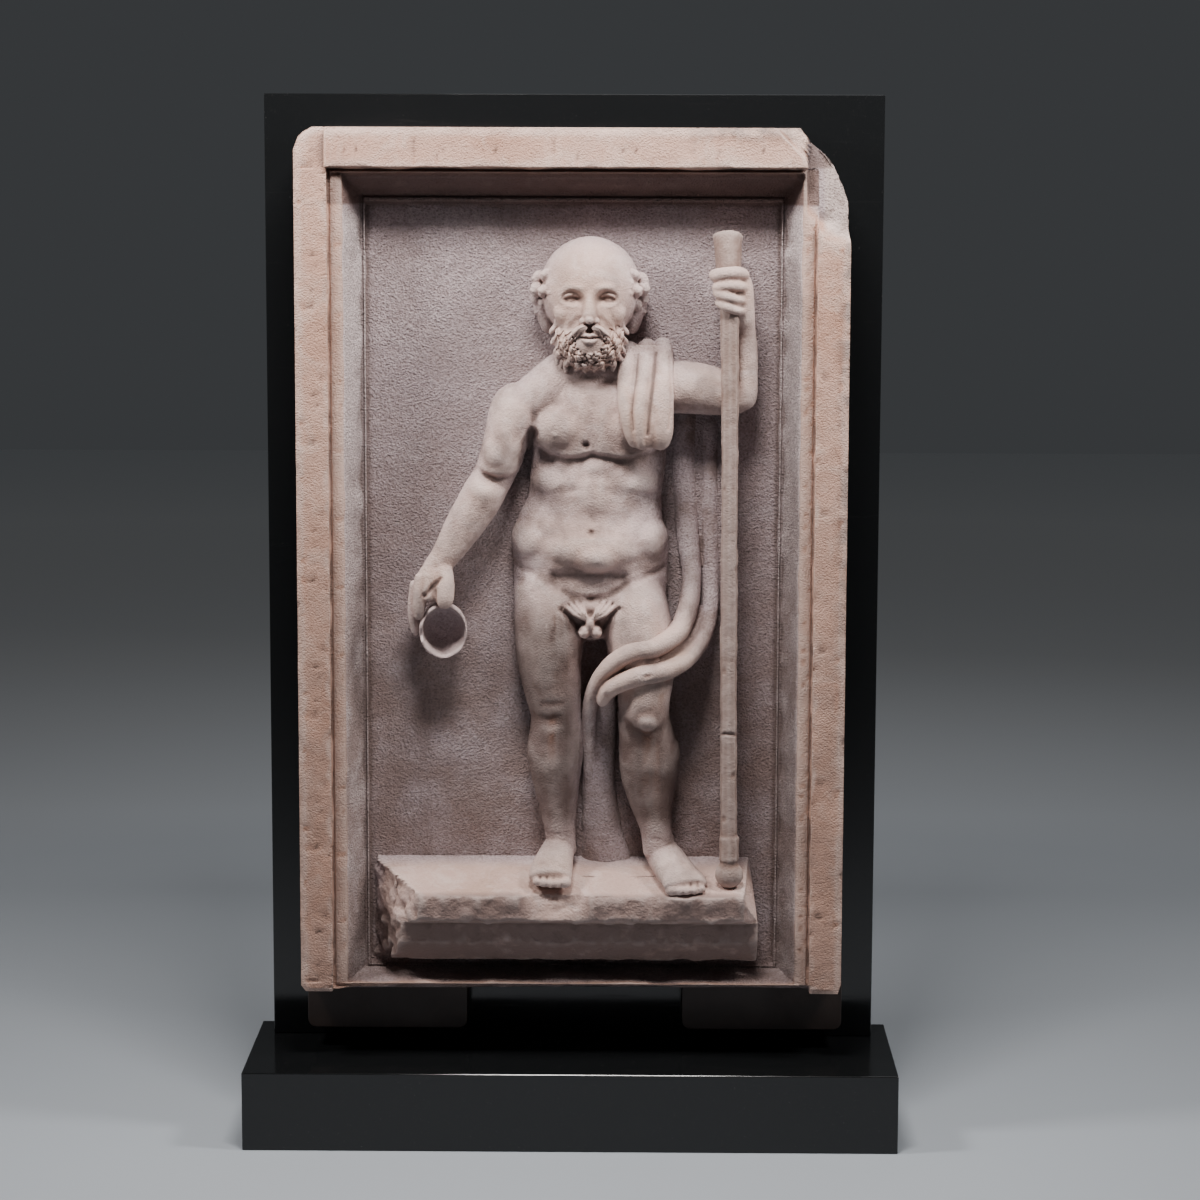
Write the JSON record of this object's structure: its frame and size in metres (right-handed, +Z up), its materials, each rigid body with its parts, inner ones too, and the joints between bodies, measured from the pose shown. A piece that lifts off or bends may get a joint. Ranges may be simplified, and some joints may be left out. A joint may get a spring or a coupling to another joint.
{
  "type": "relief altar panel",
  "caption": "Upright marble panel carved in high relief with a standing bearded man who holds a bowl and a staff, carried on a black display stand.",
  "frame": {"origin": "on the floor under the middle of the plinth, bottom centre of the whole part", "axes": "+Z up, +X to the viewer's right, the carved face looks towards -Y"},
  "size_m": [0.534, 0.158, 0.8533],
  "materials": {
    "marble": "weathered pinkish marble, stands in for stone",
    "black_gloss": "polished black, lightly scratched",
    "brown_block": "dark brown, satin"
  },
  "bodies": {
    "root": {"relief_panel": "marble", "back_board": "black_gloss", "plinth": "black_gloss", "support_block_left": "brown_block", "support_block_right": "brown_block"}
  },
  "joints": []
}
